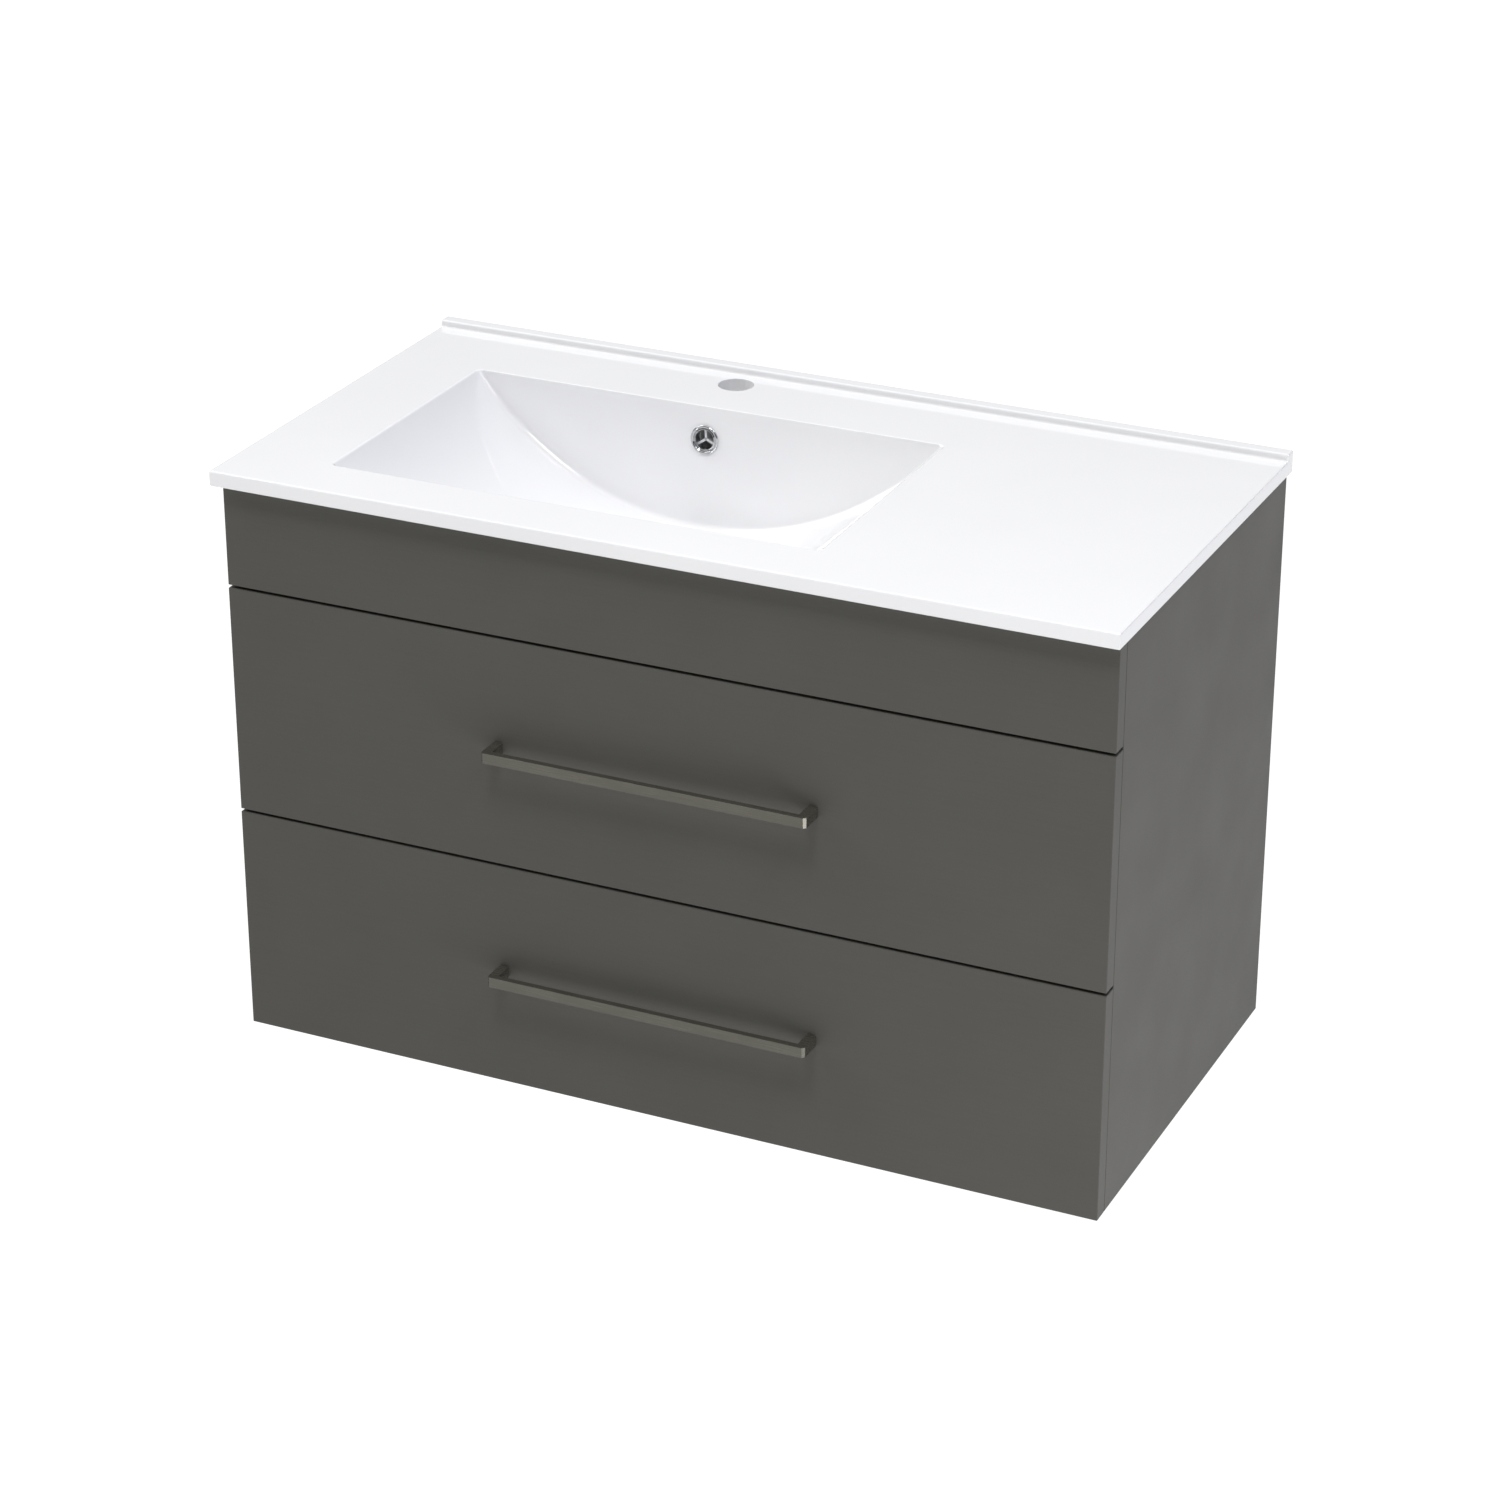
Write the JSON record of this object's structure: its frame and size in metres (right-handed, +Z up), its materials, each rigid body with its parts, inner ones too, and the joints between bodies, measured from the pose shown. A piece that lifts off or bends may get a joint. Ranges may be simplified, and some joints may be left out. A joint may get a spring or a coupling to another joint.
{
  "type": "bathroom vanity cabinet",
  "caption": "Wall-hung bathroom vanity with a moulded white top, a bowl set to the left, a fixed fascia and soft-close drawers on ball-bearing runners.",
  "frame": {"origin": "on the wall plane, at the middle of the upper wall rail's back face, which carries the unit", "axes": "+X to the right as seen from the front, +Y into the wall, +Z up"},
  "size_m": [0.9, 0.4725, 0.594],
  "materials": {
    "charcoal_board": "satin charcoal faced board with matching edge banding",
    "white_board": "white melamine faced board with a fine orange-peel texture",
    "glaze": "high-gloss white glaze",
    "chrome": "polished",
    "handle_metal": "dark brushed pewter, grained along the bar",
    "zinc_steel": "bright zinc-plated, rolled",
    "grey_plastic": "moulded, fine texture",
    "white_plastic": "moulded",
    "rubber": "matt black"
  },
  "bodies": {
    "cabinet": {"basin_top": "glaze", "bottom_panel": "white_board", "fascia_panel": "charcoal_board", "fascia_screw_left": "zinc_steel", "fascia_screw_right": "zinc_steel", "front_rail": "white_board", "lower_drawer_damper_left": "grey_plastic", "lower_drawer_damper_right": "grey_plastic", "lower_drawer_runner_fixed_left": "zinc_steel", "lower_drawer_runner_fixed_right": "zinc_steel", "overflow_duct": "white_plastic", "overflow_ring": "chrome", "side_panel_left": "charcoal_board", "side_panel_right": "charcoal_board", "upper_drawer_damper_left": "grey_plastic", "upper_drawer_damper_right": "grey_plastic", "upper_drawer_runner_fixed_left": "zinc_steel", "upper_drawer_runner_fixed_right": "zinc_steel", "wall_rail_lower": "white_board", "wall_rail_upper": "white_board", "waste_backnut": "white_plastic", "waste_body": "chrome", "waste_lower_seal": "rubber", "waste_upper_seal": "rubber"},
    "upper_drawer": {"upper_drawer_back_left": "white_board", "upper_drawer_back_right": "white_board", "upper_drawer_bottom": "white_board", "upper_drawer_box_front": "white_board", "upper_drawer_front": "charcoal_board", "upper_drawer_handle": "handle_metal", "upper_drawer_handle_screw_left": "zinc_steel", "upper_drawer_handle_screw_right": "zinc_steel", "upper_drawer_recess_front": "white_board", "upper_drawer_recess_left": "white_board", "upper_drawer_recess_right": "white_board", "upper_drawer_runner_moving_left": "zinc_steel", "upper_drawer_runner_moving_right": "zinc_steel", "upper_drawer_side_left": "white_board", "upper_drawer_side_right": "white_board"},
    "upper_runner_middle": {"upper_drawer_runner_middle_left": "zinc_steel", "upper_drawer_runner_middle_right": "zinc_steel"},
    "lower_drawer": {"lower_drawer_back": "white_board", "lower_drawer_bottom": "white_board", "lower_drawer_box_front": "white_board", "lower_drawer_front": "charcoal_board", "lower_drawer_handle": "handle_metal", "lower_drawer_handle_screw_left": "zinc_steel", "lower_drawer_handle_screw_right": "zinc_steel", "lower_drawer_runner_moving_left": "zinc_steel", "lower_drawer_runner_moving_right": "zinc_steel", "lower_drawer_side_left": "white_board", "lower_drawer_side_right": "white_board"},
    "lower_runner_middle": {"lower_drawer_runner_middle_left": "zinc_steel", "lower_drawer_runner_middle_right": "zinc_steel"},
    "waste_plug": {"waste_plug_cap": "chrome", "waste_plug_seal": "rubber"}
  },
  "joints": [
    {"name": "upper_drawer_slide", "type": "slide", "parent": "cabinet", "child": "upper_drawer", "axis": [0, -1, 0], "range_m": [0, 0.39]},
    {"name": "upper_runner_middle_slide", "type": "slide", "parent": "cabinet", "child": "upper_runner_middle", "axis": [0, -1, 0], "range_m": [0, 0.195]},
    {"name": "lower_drawer_slide", "type": "slide", "parent": "cabinet", "child": "lower_drawer", "axis": [0, -1, 0], "range_m": [0, 0.39]},
    {"name": "lower_runner_middle_slide", "type": "slide", "parent": "cabinet", "child": "lower_runner_middle", "axis": [0, -1, 0], "range_m": [0, 0.195]},
    {"name": "waste_plug_slide", "type": "slide", "parent": "cabinet", "child": "waste_plug", "axis": [0, 0, 1], "range_m": [0, 0.009]}
  ],
  "couplings": [
    {"joint": "upper_runner_middle_slide", "follows": "upper_drawer_slide", "ratio": 0.5},
    {"joint": "lower_runner_middle_slide", "follows": "lower_drawer_slide", "ratio": 0.5}
  ]
}
